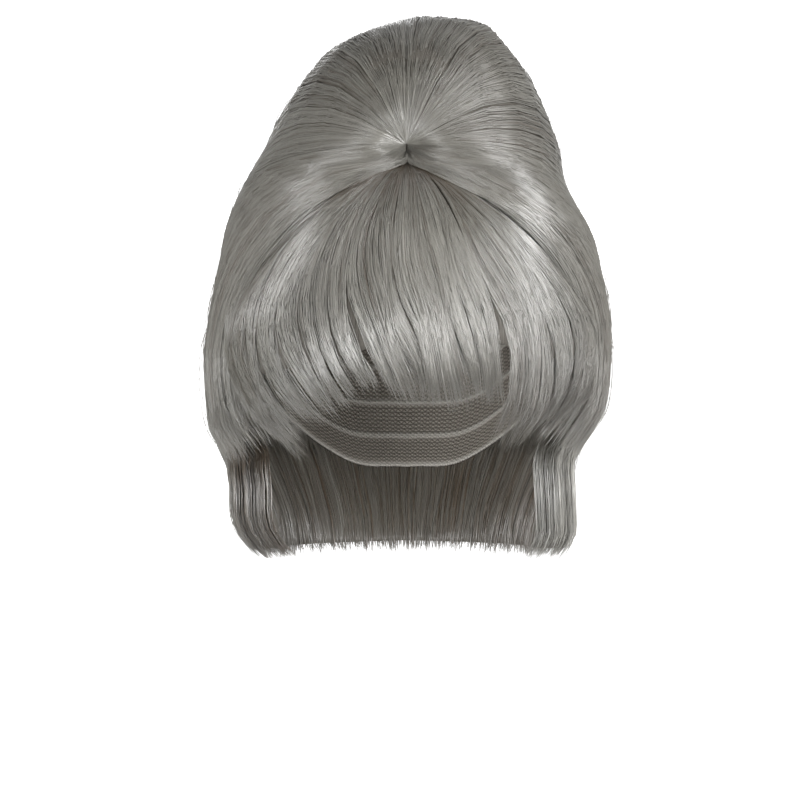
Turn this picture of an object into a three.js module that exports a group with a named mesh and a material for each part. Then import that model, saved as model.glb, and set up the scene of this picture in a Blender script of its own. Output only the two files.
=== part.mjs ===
// A bouffant fancy-dress wig of grey synthetic hair, shown at its worn shape.
// A stretch cap carries everything. All the hair springs from one whorl above the forehead: a tall
// mound goes up and over to the back, a sweep goes down each side, and a fringe in three locks
// falls to the brow. A nape curtain with a lock behind each ear hangs below the sweeps.
//
// Frame: millimetres, +Z up, the face towards -Y and the wearer's left towards +X. The origin is
// the inside top of the cap, where the crown of the head touches it.

import * as THREE from "three";
import { mergeVertices } from "three/addons/utils/BufferGeometryUtils.js";

// The head that the wig fits
const HEAD_BREADTH = 148;
const HEAD_LENGTH = 188;
const HEAD_CROWN = 98; // from the top of the head down to its widest level
const HEAD_SQUARENESS = 2.15;

// The cap, and the gaps that keep the pieces apart
const CAP_WALL = 1.5;
const SEAT_GAP = 0.9; // between the cap and the hair that is sewn on it
const PARTING = 0.7; // between neighbouring sections of hair

// How far the hair stands out from the cap
const SIDE_LOFT = 16.5;
const FRINGE_LOFT = 19;
const BACK_LOFT = 32;
const HAIR_SQUARENESS = 2.15;

// Heights, above or below the top of the head
const CROWN_RISE = 71; // top of the mound
const SIDE_DROP = 128; // lower edge of the sweeps
const BACK_DROP = 116; // lower edge of the mound's back
const NAPE_DROP = 176; // lower edge of the nape
const FRINGE_DROP = 96; // middle of the fringe
const CORNER_DROP = 112; // outer corners of the fringe

// Where the hair springs from, in front of and above the origin
const WHORL_AHEAD = 62;
const WHORL_HEIGHT = 8;
const WIDEST_BEHIND = 8; // the hair is widest this far behind the origin

// Turns from the face, in degrees, at which the nape's locks begin and end
const NAPE_FRONT = 86;
const NAPE_SPLIT = 130;

// Relief of the hair
const FRINGE_TIP_DEPTH = 6; // thickness of the fringe at its hem
const FRINGE_TUCK = 4; // the fringe lies this far under the sweeps' edges
const FRINGE_SPLIT = 5; // the fringe's locks part by this at the hem
const SWEEP_ROLL = 1.5; // the sweeps stand proud by this behind their front edges
const SWEEP_TURN_IN = 8; // and their front edges turn in by this towards the hem
const CROWN_CREASE = 3; // furrow that runs back from the whorl
const WHORL_PINCH = 6; // the hair dips by this into the whorl

// Rays start here, in the middle of the head, and every section is worked out along them
const CENTRE = new THREE.Vector3(0, 0.6 * WIDEST_BEHIND, -0.71 * HEAD_CROWN);
const WHORL = new THREE.Vector3(0, -WHORL_AHEAD, WHORL_HEIGHT);

const HALF_WIDTH = HEAD_BREADTH / 2 + CAP_WALL + SIDE_LOFT;
const FRONT_REACH = HEAD_LENGTH / 2 + CAP_WALL + FRINGE_LOFT;
const BACK_REACH = HEAD_LENGTH / 2 + CAP_WALL + BACK_LOFT;
const FAR = 400; // a length that no ray inside the hair reaches

// Head below its widest level: drop as a share of HEAD_CROWN, the rest as shares of the half
// breadth and half length
const NECK_ROWS = [
  { drop: 1.0, breadth: 1.0, length: 1.0 },
  { drop: 1.2, breadth: 0.965, length: 0.93 },
  { drop: 1.4, breadth: 0.86, length: 0.79 },
  { drop: 1.6, breadth: 0.76, length: 0.67 },
  { drop: 1.8, breadth: 0.73, length: 0.62 },
  { drop: 2.4, breadth: 0.73, length: 0.62 },
];

// Outline of the hair. Left and right are shares of HALF_WIDTH, front of FRONT_REACH and back of
// BACK_REACH. The mound's level is 0 at its top and 1 at the height of the origin, with the
// height falling as the level's square, which rounds the top.
const MOUND_ROWS = [
  { level: 0.0, left: -0.11, right: 0.11, front: -0.1, back: 0.1 },
  { level: 0.25, left: 0.12, right: 0.375, front: 0.1, back: 0.34 },
  { level: 0.46, left: 0.355, right: 0.485, front: 0.3, back: 0.56 },
  { level: 0.61, left: 0.475, right: 0.577, front: 0.4, back: 0.68 },
  { level: 0.82, left: 0.63, right: 0.7, front: 0.49, back: 0.8 },
  { level: 0.93, left: 0.705, right: 0.758, front: 0.53, back: 0.85 },
  { level: 1.0, left: 0.763, right: 0.768, front: 0.62, back: 0.88 },
];
// Drop is a share of SIDE_DROP
const SIDE_ROWS = [
  { drop: 0.0, left: 0.763, right: 0.768, front: 0.62, back: 0.88 },
  { drop: 0.05, left: 0.8, right: 0.783, front: 0.74, back: 0.905 },
  { drop: 0.16, left: 0.87, right: 0.87, front: 0.86, back: 0.945 },
  { drop: 0.25, left: 0.9, right: 0.93, front: 0.915, back: 0.965 },
  { drop: 0.5, left: 0.963, right: 0.998, front: 0.995, back: 1.0 },
  { drop: 0.67, left: 0.993, right: 1.008, front: 1.0, back: 0.99 },
  { drop: 0.84, left: 0.983, right: 0.985, front: 0.965, back: 0.93 },
  { drop: 0.93, left: 0.965, right: 0.915, front: 0.93, back: 0.87 },
  { drop: 1.0, left: 0.9, right: 0.85, front: 0.9, back: 0.79 },
];
// Drop is a share of the length from SIDE_DROP to NAPE_DROP
const NAPE_ROWS = [
  { drop: 0.0, left: 0.9, right: 0.85, front: 0.9, back: 0.79 },
  { drop: 0.12, left: 0.885, right: 0.825, front: 0.88, back: 0.735 },
  { drop: 0.25, left: 0.865, right: 0.83, front: 0.87, back: 0.7 },
  { drop: 0.6, left: 0.86, right: 0.838, front: 0.87, back: 0.665 },
  { drop: 0.78, left: 0.82, right: 0.835, front: 0.85, back: 0.655 },
  { drop: 1.0, left: 0.72, right: 0.77, front: 0.75, back: 0.6 },
];

// Lower edge of the cap round the head: turn in degrees from the face, drop as a share of
// HEAD_CROWN
const CAP_EDGE = [
  { turn: 0, drop: 0.46 },
  { turn: 35, drop: 0.56 },
  { turn: 62, drop: 0.92 },
  { turn: 95, drop: 0.82 },
  { turn: 125, drop: 1.04 },
  { turn: 158, drop: 1.34 },
  { turn: 180, drop: 1.37 },
];

const lerp = THREE.MathUtils.lerp;
const smooth = THREE.MathUtils.smoothstep;

// A value between the rows of a table, by a smooth curve through them
function readTable(rows, key, at, column) {
  const last = rows.length - 1;
  const x = THREE.MathUtils.clamp(at, rows[0][key], rows[last][key]);
  let k = 0;
  while (k < last - 1 && x > rows[k + 1][key]) k += 1;
  const slope = (i) => {
    const low = Math.max(i - 1, 0);
    const high = Math.min(i + 1, last);
    return (rows[high][column] - rows[low][column]) / (rows[high][key] - rows[low][key]);
  };
  const span = rows[k + 1][key] - rows[k][key];
  const t = (x - rows[k][key]) / span;
  const [a, b] = [rows[k][column], rows[k + 1][column]];
  const [c, d] = [slope(k) * span, slope(k + 1) * span];
  return a + t * (c + t * (3 * (b - a) - 2 * c - d + t * (2 * (a - b) + c + d)));
}

// The value in [low, high] where a test that holds at low stops holding
function lastTrue(test, low, high) {
  let [a, b] = [low, high];
  for (let k = 0; k < 40; k += 1) {
    const m = (a + b) / 2;
    if (test(m)) a = m;
    else b = m;
  }
  return a;
}

function insideHead(p) {
  const share = -p.z / HEAD_CROWN;
  if (share < 0) return false;
  const dome = (1 - Math.max(1 - share, 0) ** HEAD_SQUARENESS) ** (1 / HEAD_SQUARENESS);
  const breadth = dome * readTable(NECK_ROWS, "drop", share, "breadth");
  const length = dome * readTable(NECK_ROWS, "drop", share, "length");
  const x = Math.abs(p.x) / ((breadth * HEAD_BREADTH) / 2);
  const y = Math.abs(p.y) / ((length * HEAD_LENGTH) / 2);
  return x * x + y * y < 1;
}

function insideHair(p) {
  if (p.z > CROWN_RISE) return false;
  let [rows, key, at] = [SIDE_ROWS, "drop", -p.z / SIDE_DROP];
  if (p.z > 0) [rows, key, at] = [MOUND_ROWS, "level", Math.sqrt(1 - p.z / CROWN_RISE)];
  if (p.z < -SIDE_DROP) {
    [rows, at] = [NAPE_ROWS, (-p.z - SIDE_DROP) / (NAPE_DROP - SIDE_DROP)];
  }
  const left = -HALF_WIDTH * readTable(rows, key, at, "left");
  const right = HALF_WIDTH * readTable(rows, key, at, "right");
  const front = -FRONT_REACH * readTable(rows, key, at, "front");
  const back = BACK_REACH * readTable(rows, key, at, "back");
  const middle = THREE.MathUtils.clamp(WIDEST_BEHIND, front, back);
  const x = Math.abs(p.x - (left + right) / 2) / Math.max((right - left) / 2, 1e-6);
  const depth = p.y < middle ? middle - front : back - middle;
  const y = Math.abs(p.y - middle) / Math.max(depth, 1e-6);
  return x ** HAIR_SQUARENESS + y ** HAIR_SQUARENESS < 1;
}

// A unit vector by its turn from the face, positive to the wearer's left, and its lift, in degrees
function heading(turn, lift) {
  const [a, e] = [THREE.MathUtils.degToRad(turn), THREE.MathUtils.degToRad(lift)];
  return new THREE.Vector3(Math.sin(a) * Math.cos(e), -Math.cos(a) * Math.cos(e), Math.sin(e));
}

const along = (direction, reach) => CENTRE.clone().addScaledVector(direction, reach);
const headReach = (d) => lastTrue((r) => insideHead(along(d, r)), 0, FAR);
const hairReach = (d) => lastTrue((r) => insideHair(along(d, r)), 0, FAR);

// The lift at which a ray of a given horizontal reach gets down to a drop
const liftTo = (drop, reach) =>
  -THREE.MathUtils.radToDeg(Math.atan((drop + CENTRE.z) / reach));

// Lower edge of the sweeps and of the mound's back, round the head
const SIDE_LIFT = liftTo(SIDE_DROP, 0.87 * HALF_WIDTH);
const BACK_LIFT = liftTo(BACK_DROP, 0.8 * BACK_REACH);
const hemLift = (turn) =>
  THREE.MathUtils.mapLinear(Math.max(Math.abs(turn), 90), 90, 180, SIDE_LIFT, BACK_LIFT);
const FRINGE_LIFT = liftTo(FRINGE_DROP, FRONT_REACH);
const CORNER_LIFT = liftTo(CORNER_DROP, 0.86 * FRONT_REACH);

// Paths that the hair follows from the whorl, as headings a third of the way, two thirds of the
// way and at the end
const FRONT_PATH = {
  nearTurn: 2, nearLift: 26, farTurn: 4, farLift: 8, endTurn: 6, endLift: FRINGE_LIFT,
};
const FRINGE_RIGHT_PATHS = [
  { nearTurn: -28, nearLift: 22, farTurn: -53, farLift: 3, endTurn: -46, endLift: CORNER_LIFT + 1 },
  { nearTurn: -19, nearLift: 24, farTurn: -36, farLift: 2, endTurn: -27, endLift: CORNER_LIFT - 2 },
  { nearTurn: -10, nearLift: 25, farTurn: -14, farLift: 4, endTurn: -8, endLift: FRINGE_LIFT - 3 },
];
const FRINGE_MIDDLE_PATHS = [
  FRINGE_RIGHT_PATHS[2],
  FRONT_PATH,
  { nearTurn: 10, nearLift: 26, farTurn: 16, farLift: 8, endTurn: 19, endLift: FRINGE_LIFT },
];
const FRINGE_LEFT_PATHS = [
  FRINGE_MIDDLE_PATHS[2],
  { nearTurn: 20, nearLift: 25, farTurn: 33, farLift: 6, endTurn: 31, endLift: CORNER_LIFT + 3 },
  { nearTurn: 28, nearLift: 22, farTurn: 53, farLift: 3, endTurn: 46, endLift: CORNER_LIFT + 3 },
];
const SWEEP_BACK = {
  nearTurn: 66, nearLift: 41, farTurn: 109, farLift: 22, endTurn: 128, endLift: hemLift(128),
};
const SWEEP_PATHS = [
  { nearTurn: 31, nearLift: 25, farTurn: 57, farLift: 1, endTurn: 53, endLift: SIDE_LIFT + 5 },
  { nearTurn: 49, nearLift: 34, farTurn: 84, farLift: 12, endTurn: 90, endLift: SIDE_LIFT },
  SWEEP_BACK,
];
const MOUND_PATHS = [
  SWEEP_BACK,
  { nearTurn: 100, nearLift: 68, farTurn: 148, farLift: 26, endTurn: 152, endLift: hemLift(152) },
  { nearTurn: 180, nearLift: 79, farTurn: 180, farLift: 27, endTurn: 180, endLift: hemLift(180) },
];

// Steps along the hair, as shares of its length, closer together near the whorl
const STEPS = 20;
const FIRST_STEP = 0.02;
const FRINGE_FROM_STEP = 2; // the fringe comes out from under the sweeps here
const stepShare = (k) => FIRST_STEP + (1 - FIRST_STEP) * (k / STEPS) ** 1.15;
const FAN_OPENS = stepShare(FRINGE_FROM_STEP - 1);
const FAN_OPEN = stepShare(FRINGE_FROM_STEP + 2);

// The same paths on the other side. Turns may count on past the back of the head.
const mirrored = (paths, about) =>
  paths
    .map((p) => ({
      ...p,
      nearTurn: about - p.nearTurn,
      farTurn: about - p.farTurn,
      endTurn: about - p.endTurn,
    }))
    .reverse();

function mixPaths(a, b, t) {
  const mixed = {};
  for (const column of Object.keys(a)) mixed[column] = lerp(a[column], b[column], t);
  return mixed;
}

function pathAcross(paths, across) {
  const at = across * (paths.length - 1);
  const k = Math.min(Math.floor(at), paths.length - 2);
  return mixPaths(paths[k], paths[k + 1], at - k);
}

const whorlHeading = WHORL.clone().sub(CENTRE).normalize();

// Heading of the hair on a path, a share of the way along it: the cubic curve through the
// path's four headings
function flow(path, share) {
  const [a, b, c] = [share, share - 1 / 3, share - 2 / 3];
  const d = share - 1;
  return new THREE.Vector3()
    .addScaledVector(whorlHeading, -4.5 * b * c * d)
    .addScaledVector(heading(path.nearTurn, path.nearLift), 13.5 * a * c * d)
    .addScaledVector(heading(path.farTurn, path.farLift), -13.5 * a * b * d)
    .addScaledVector(heading(path.endTurn, path.endLift), 4.5 * a * b * c)
    .normalize();
}

// A closed block between two grids of points with as many rows and columns. Faces that have
// collapsed at a pole are left out, and the block is turned to face outwards.
function block(outer, inner, wraps) {
  const rows = outer.length;
  const columns = outer[0].length;
  const faces = [];
  const quad = (a, b, c, d) => faces.push([a, b, c], [a, c, d]);
  const lastColumn = wraps ? columns : columns - 1;
  for (let j = 0; j < lastColumn; j += 1) {
    const k = (j + 1) % columns;
    for (let i = 0; i + 1 < rows; i += 1) {
      quad(outer[i][j], outer[i + 1][j], outer[i + 1][k], outer[i][k]);
      quad(inner[i][j], inner[i][k], inner[i + 1][k], inner[i + 1][j]);
    }
    const end = rows - 1;
    quad(outer[0][k], inner[0][k], inner[0][j], outer[0][j]);
    quad(outer[end][j], inner[end][j], inner[end][k], outer[end][k]);
  }
  for (let i = 0; i + 1 < rows && !wraps; i += 1) {
    const end = columns - 1;
    quad(outer[i][0], inner[i][0], inner[i + 1][0], outer[i + 1][0]);
    quad(outer[i + 1][end], inner[i + 1][end], inner[i][end], outer[i][end]);
  }
  const same = (p, q) => p.distanceToSquared(q) < 1e-6;
  const kept = faces.filter(([a, b, c]) => !same(a, b) && !same(b, c) && !same(c, a));
  const volume = kept.reduce((sum, [a, b, c]) => sum + a.dot(b.clone().cross(c)), 0);
  const facing = volume > 0 ? kept : kept.map(([a, b, c]) => [a, c, b]);
  const points = facing.flat().flatMap((p) => [p.x, p.y, p.z]);
  const geometry = new THREE.BufferGeometry();
  geometry.setAttribute("position", new THREE.Float32BufferAttribute(points, 3));
  return mergeVertices(geometry, 1e-3);
}

const HAIR = new THREE.MeshStandardMaterial({ color: "#a29f99", roughness: 0.42, metalness: 0 });
const NET = new THREE.MeshStandardMaterial({ color: "#8b857b", roughness: 0.9, metalness: 0 });

function piece(name, geometry, material) {
  const mesh = new THREE.Mesh(geometry, material.clone());
  mesh.geometry.computeVertexNormals();
  mesh.name = name;
  return mesh;
}

// The stretch cap: an even wall on the head, open at the bottom and cut back over the ears
function foundationCap() {
  const rings = 12;
  const sides = 32;
  const outer = [];
  const inner = [];
  for (let i = 0; i <= rings; i += 1) {
    outer.push([]);
    inner.push([]);
    for (let j = 0; j < sides; j += 1) {
      const turn = (360 * j) / sides;
      const folded = turn > 180 ? 360 - turn : turn;
      const drop = HEAD_CROWN * readTable(CAP_EDGE, "turn", folded, "drop");
      const reachesEdge = (fall) => {
        const d = heading(turn, 90 - fall);
        return along(d, headReach(d)).z > -drop;
      };
      const direction = heading(turn, 90 - (lastTrue(reachesEdge, 0, 150) * i) / rings);
      const reach = headReach(direction);
      inner[i].push(along(direction, reach));
      outer[i].push(along(direction, reach + CAP_WALL));
    }
  }
  return piece("foundation_cap", block(outer, inner, true), NET);
}

// A section of hair from the whorl to its hem. Its two edges keep half a parting from the
// paths that bound it, and its inner face lies on the cap unless a depth is asked for.
function hairSection(name, { paths, columns, spread, firstStep, lift, depth, fan, split }) {
  const outer = [];
  const inner = [];
  for (let i = firstStep; i <= STEPS; i += 1) {
    const share = stepShare(i);
    const opened = fan ? smooth(share, FAN_OPENS, FAN_OPEN) : 1;
    const at = (across) => {
      const path = pathAcross(paths, across);
      return flow(fan ? fan(path, opened, across) : path, share);
    };
    const span = at(0).distanceTo(at(0.02)) / 0.02;
    const spanEnd = at(1).distanceTo(at(0.98)) / 0.02;
    const reach = headReach(at(0.5)) + CAP_WALL + SEAT_GAP;
    const opening = split ? smooth(share, 0.72, 1) * (FRINGE_SPLIT / 2) : 0;
    const marginAt = (edge) => PARTING / 2 + (split?.includes(edge) ? opening : 0);
    const low = marginAt("low") / reach / span;
    const high = 1 - marginAt("high") / reach / spanEnd;
    outer.push([]);
    inner.push([]);
    for (let j = 0; j <= columns; j += 1) {
      const across = lerp(low, high, spread ? spread(j / columns) : j / columns);
      const direction = at(across);
      const seat = headReach(direction) + CAP_WALL + SEAT_GAP;
      const top = hairReach(direction) + lift(across, share);
      outer.at(-1).push(along(direction, top));
      inner.at(-1).push(along(direction, depth ? Math.max(seat, top - depth(share)) : seat));
    }
  }
  return piece(name, block(outer, inner, false), HAIR);
}

const pinch = (share) => -WHORL_PINCH * Math.exp(-((share / 0.04) ** 2));

// The mound: one padded form with a furrow running back from the whorl
function crownMound() {
  const furrow = (across, share) =>
    -CROWN_CREASE * Math.exp(-(((across - 0.5) / 0.05) ** 2)) * (1 - smooth(share, 0.2, 0.5));
  return hairSection("crown_mound", {
    paths: [...MOUND_PATHS, ...mirrored(MOUND_PATHS.slice(0, 2), 360)],
    columns: 20,
    firstStep: 0,
    lift: (across, share) => furrow(across, share) + pinch(share),
  });
}

// A sweep: it covers the ear, it has a soft roll behind its front edge, and it meets the other
// sweep in a narrow tongue in front of the whorl
function sweep(name, paths, frontIsFirst) {
  const fromFront = (across) => (frontIsFirst ? across : 1 - across);
  const roll = (across, share) =>
    SWEEP_ROLL * Math.exp(-(((fromFront(across) - 0.22) / 0.12) ** 2)) *
    smooth(share, 0.05, 0.25) * (1 - smooth(share, 0.6, 0.95));
  const turnIn = (across, share) => {
    const flat = Math.max(1 - fromFront(across) / 0.22, 0);
    return -SWEEP_TURN_IN * lerp(0.25, 1, smooth(share, 0.4, 0.8)) * (1 - Math.sqrt(1 - flat ** 2));
  };
  return hairSection(name, {
    paths,
    columns: 10,
    spread: (t) => (frontIsFirst ? t ** 1.6 : 1 - (1 - t) ** 1.6),
    firstStep: 0,
    lift: (across, share) => roll(across, share) + turnIn(across, share) + pinch(share),
    fan: (path, opened, across) =>
      mixPaths(mixPaths(FRONT_PATH, path, fromFront(across)), path, opened),
  });
}

// A lock of the fringe: tucked under the sweeps at its root and thin at its tip. The edge that
// runs along a sweep stays tucked, and the other edges part towards the hem.
function fringeLock(name, paths, sweepEdge, split) {
  const tuck = (across, share) => {
    const fromEdge = { low: across, high: 1 - across, none: 1 }[sweepEdge];
    const upper = Math.exp(-((fromEdge / 0.35) ** 2)) * (1 - smooth(share, 0.5, 0.9));
    const lower = Math.exp(-((fromEdge / 0.2) ** 2)) * smooth(share, 0.5, 0.9);
    return -FRINGE_TUCK * Math.max(1 - smooth(share, 0.15, 0.45), upper, lower);
  };
  const thickest = FRINGE_LOFT + CROWN_RISE;
  return hairSection(name, {
    paths,
    columns: 8,
    firstStep: FRINGE_FROM_STEP,
    lift: tuck,
    depth: (share) => lerp(thickest, FRINGE_TIP_DEPTH, smooth(share, 0.3, 1) ** 0.5),
    fan: (path, opened) => mixPaths(FRONT_PATH, path, opened),
    split,
  });
}

// A part of the nape curtain between two turns. Its top meets the hem above it, and from
// there it hangs straight down, lying against the neck.
function napePart(name, fromTurn, toTurn, columns) {
  const rows = 8;
  const seat = CAP_WALL + SEAT_GAP;
  const neckRadius = (NECK_ROWS.at(-1).breadth * HEAD_BREADTH) / 2;
  const margin = THREE.MathUtils.radToDeg(PARTING / 2 / neckRadius);
  const hemGap = THREE.MathUtils.radToDeg(PARTING / (HEAD_BREADTH / 2));
  const outer = [];
  const inner = [];
  for (let i = 0; i <= rows; i += 1) {
    outer.push([]);
    inner.push([]);
    for (let j = 0; j <= columns; j += 1) {
      const turn = lerp(fromTurn + margin, toTurn - margin, j / columns);
      const top = heading(turn, hemLift(turn > 180 ? 360 - turn : turn) - hemGap);
      const level = heading(turn, 0);
      const reachAt = (inside, z) => {
        const from = new THREE.Vector3(0, CENTRE.y, z);
        return lastTrue((r) => inside(from.clone().addScaledVector(level, r)), 0, FAR);
      };
      const hang = (inside, reach, extra) => {
        const z = lerp(along(top, reach).z, -NAPE_DROP, i / rows);
        const from = new THREE.Vector3(0, CENTRE.y, z);
        const out = i === 0 ? Math.cos(top.angleTo(level)) * reach : reachAt(inside, z) + extra;
        return from.addScaledVector(level, out);
      };
      outer[i].push(hang(insideHair, hairReach(top), 0));
      inner[i].push(hang(insideHead, headReach(top) + seat, seat));
    }
  }
  return piece(name, block(outer, inner, false), HAIR);
}

const wig = new THREE.Group();
wig.add(
  foundationCap(),
  crownMound(),
  sweep("sweep_left", SWEEP_PATHS, true),
  sweep("sweep_right", mirrored(SWEEP_PATHS, 0), false),
  fringeLock("fringe_right", FRINGE_RIGHT_PATHS, "low", ["high"]),
  fringeLock("fringe_middle", FRINGE_MIDDLE_PATHS, "none", ["low", "high"]),
  fringeLock("fringe_left", FRINGE_LEFT_PATHS, "high", ["low"]),
  napePart("nape_lock_left", NAPE_FRONT, NAPE_SPLIT, 6),
  napePart("nape_back", NAPE_SPLIT, 360 - NAPE_SPLIT, 14),
  napePart("nape_lock_right", 360 - NAPE_SPLIT, 360 - NAPE_FRONT, 6),
);

export default wig;
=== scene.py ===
import math

import bpy
import numpy as np
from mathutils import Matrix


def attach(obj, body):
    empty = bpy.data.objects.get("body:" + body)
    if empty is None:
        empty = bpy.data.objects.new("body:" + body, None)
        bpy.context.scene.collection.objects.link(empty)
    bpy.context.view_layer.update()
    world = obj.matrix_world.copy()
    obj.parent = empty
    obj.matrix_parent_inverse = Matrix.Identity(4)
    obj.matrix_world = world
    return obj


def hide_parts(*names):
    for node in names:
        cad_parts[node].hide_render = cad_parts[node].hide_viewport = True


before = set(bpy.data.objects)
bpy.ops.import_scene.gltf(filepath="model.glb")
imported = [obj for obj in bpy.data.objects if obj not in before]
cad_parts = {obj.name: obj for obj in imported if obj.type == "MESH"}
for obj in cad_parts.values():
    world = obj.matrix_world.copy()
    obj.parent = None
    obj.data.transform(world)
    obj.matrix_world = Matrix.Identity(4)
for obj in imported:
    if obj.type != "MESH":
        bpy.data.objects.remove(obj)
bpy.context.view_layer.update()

# Foundation cap
#
# The stretch cap is a knitted net dome with a folded, stitched hem. It carries the whole wig:
# the hair comes on narrow machine-sewn tracks that run round the dome a finger's width apart.

HEAD_BREADTH, HEAD_LENGTH, HEAD_CROWN, HEAD_SQUARENESS = 148.0, 188.0, 98.0, 2.15
CAP_WALL, SEAT_GAP = 1.5, 0.9
CENTRE = np.array([0.0, 4.8, -0.71 * HEAD_CROWN])  # millimetres, in the middle of the head

# Below its widest level the head narrows to the neck: shares of its crown's height down from the
# top, and of its breadth and length there.
NECK_DROP = np.array([1.0, 1.2, 1.4, 1.6, 1.8, 2.4])
NECK_BREADTH = np.array([1.0, 0.965, 0.86, 0.76, 0.73, 0.73])
NECK_LENGTH = np.array([1.0, 0.93, 0.79, 0.67, 0.62, 0.62])


def smooth_table(at, keys, values):
    """A smooth curve through the rows of a table: between two rows it is the cubic that leaves
    each row with the slope between that row's neighbours."""
    at = np.clip(at, keys[0], keys[-1])
    k = np.clip(np.searchsorted(keys, at, side="left") - 1, 0, len(keys) - 2)
    low = np.maximum(np.arange(len(keys)) - 1, 0)
    high = np.minimum(np.arange(len(keys)) + 1, len(keys) - 1)
    slope = (values[high] - values[low]) / (keys[high] - keys[low])
    span = keys[k + 1] - keys[k]
    t = (at - keys[k]) / span
    a, b, c, d = values[k], values[k + 1], slope[k] * span, slope[k + 1] * span
    return a + t * (c + t * (3 * (b - a) - 2 * c - d + t * (2 * (a - b) + c + d)))


def inside_head(p):
    """True inside the head: an egg whose level sections are ellipses, with a superellipse for
    its dome and the neck's table below its widest level."""
    share = -p[..., 2] / HEAD_CROWN
    dome = 1 - np.clip(1 - share, 0, 1) ** HEAD_SQUARENESS
    dome = np.maximum(dome, 1e-9) ** (1 / HEAD_SQUARENESS)
    breadth = dome * smooth_table(share, NECK_DROP, NECK_BREADTH) * HEAD_BREADTH / 2
    length = dome * smooth_table(share, NECK_DROP, NECK_LENGTH) * HEAD_LENGTH / 2
    return ((p[..., 0] / breadth) ** 2 + (p[..., 1] / length) ** 2 < 1) & (share > 0)


def reach_of(inside, origin, direction, far=400.0):
    """How far a ray stays inside a shape, by halving the doubtful stretch again and again."""
    low = np.zeros(direction.shape[:-1])
    high = np.full(direction.shape[:-1], far)
    for _ in range(24):
        middle = (low + high) / 2
        within = inside(origin + direction * middle[..., None])
        low, high = np.where(within, middle, low), np.where(within, high, middle)
    return low


def heading(turn, lift):
    """Unit vector from its turn from the face, towards +X, and its lift, in degrees."""
    a, e = np.radians(turn), np.radians(lift)
    return np.stack([np.sin(a) * np.cos(e), -np.cos(a) * np.cos(e), np.sin(e)], -1)


def grid_faces(rows, columns, closed=False, flip=False):
    """Quads between neighbouring rows and columns of a grid of points, as an array of indices."""
    j = np.arange(columns if closed else columns - 1)
    i = np.arange(rows - 1)[:, None]
    k = (j + 1) % columns
    quads = np.stack([i * columns + j, (i + 1) * columns + j, (i + 1) * columns + k,
                      i * columns + k], -1).reshape(-1, 4)
    return quads[:, ::-1] if flip else quads


def make_mesh(name, points, quads, triangles=None, uv=None, values=None):
    """A smooth-shaded object from points in millimetres, quads and triangles. uv holds two
    numbers for each point, and values one for each point under a name."""
    triangles = np.zeros((0, 3), int) if triangles is None else triangles
    mesh = bpy.data.meshes.new(name)
    loops = np.concatenate([quads.ravel(), triangles.ravel()]).astype(np.int32)
    starts = np.concatenate([np.arange(len(quads)) * 4,
                             len(quads) * 4 + np.arange(len(triangles)) * 3]).astype(np.int32)
    mesh.vertices.add(len(points))
    mesh.vertices.foreach_set("co", (points / 1000).astype(np.float32).ravel())
    mesh.loops.add(len(loops))
    mesh.loops.foreach_set("vertex_index", loops)
    mesh.polygons.add(len(starts))
    mesh.polygons.foreach_set("loop_start", starts)
    mesh.polygons.foreach_set("use_smooth", np.ones(len(starts), bool))
    if uv is not None:
        layer = mesh.uv_layers.new(name="flow")
        layer.data.foreach_set("uv", uv[loops].astype(np.float32).ravel())
    for key, numbers in (values or {}).items():
        layer = mesh.attributes.new(key, "FLOAT", "POINT")
        layer.data.foreach_set("value", numbers.astype(np.float32))
    mesh.update(calc_edges=True)
    mesh.validate()
    piece = bpy.data.objects.new(name, mesh)
    bpy.context.scene.collection.objects.link(piece)
    return piece


class Wire:
    """A shader socket that does sums: each sum adds a Math node to the material."""

    def __init__(self, look, out):
        self.look, self.out = look, out

    def math(self, operation, a, b=0.0, c=0.0):
        return self.look.node("ShaderNodeMath", {"operation": operation}, {0: a, 1: b, 2: c})

    def __add__(self, other):
        return self.math("ADD", self, other)

    def __sub__(self, other):
        return self.math("SUBTRACT", self, other)

    def __rsub__(self, other):
        return self.math("SUBTRACT", other, self)

    def __mul__(self, other):
        return self.math("MULTIPLY", self, other)

    def __pow__(self, other):
        return self.math("POWER", self, other)

    __radd__, __rmul__ = __add__, __mul__

    def clip(self):
        return self.look.node("ShaderNodeClamp", {}, {0: self, 1: 0.0, 2: 1.0})


class Look:
    """A material under construction."""

    def __init__(self, name, **constants):
        self.material = bpy.data.materials.new(name)
        self.material.use_nodes = True
        self.tree = self.material.node_tree
        self.shader = self.tree.nodes["Principled BSDF"]
        for socket, value in constants.items():
            self.shader.inputs[socket.replace("_", " ")].default_value = value

    def node(self, kind, settings, values, output=0):
        """Adds a node: its settings first, then a value or a wire for each of its sockets."""
        made = self.tree.nodes.new(kind)
        for key, value in settings.items():
            setattr(made, key, value)
        for socket, value in values.items():
            self.plug(made.inputs[socket], value)
        return Wire(self, made.outputs[output])

    def plug(self, socket, value):
        """Links a wire to a socket, or sets a plain value on it."""
        if isinstance(value, Wire):
            self.tree.links.new(value.out, socket)
        else:
            socket.default_value = value

    def mix(self, share, a, b):
        """Colour between a and b."""
        return self.node("ShaderNodeMix", {"data_type": "RGBA"}, {0: share, 6: a, 7: b}, 2)

    def bump(self, height, distance, strength):
        """Normal of a surface raised by height times a distance in metres."""
        return self.node("ShaderNodeBump", {}, {"Height": height, "Distance": distance,
                                                "Strength": strength})

    def finish(self, **wires):
        """Feeds the shader's sockets and hands over the material."""
        for socket, wire in wires.items():
            self.plug(self.shader.inputs[socket.replace("_", " ")], wire)
        return self.material


def dress(piece, node, material):
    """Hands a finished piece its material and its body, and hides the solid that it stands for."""
    piece.data.materials.append(material)
    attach(piece, "root")
    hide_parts(node)


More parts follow.
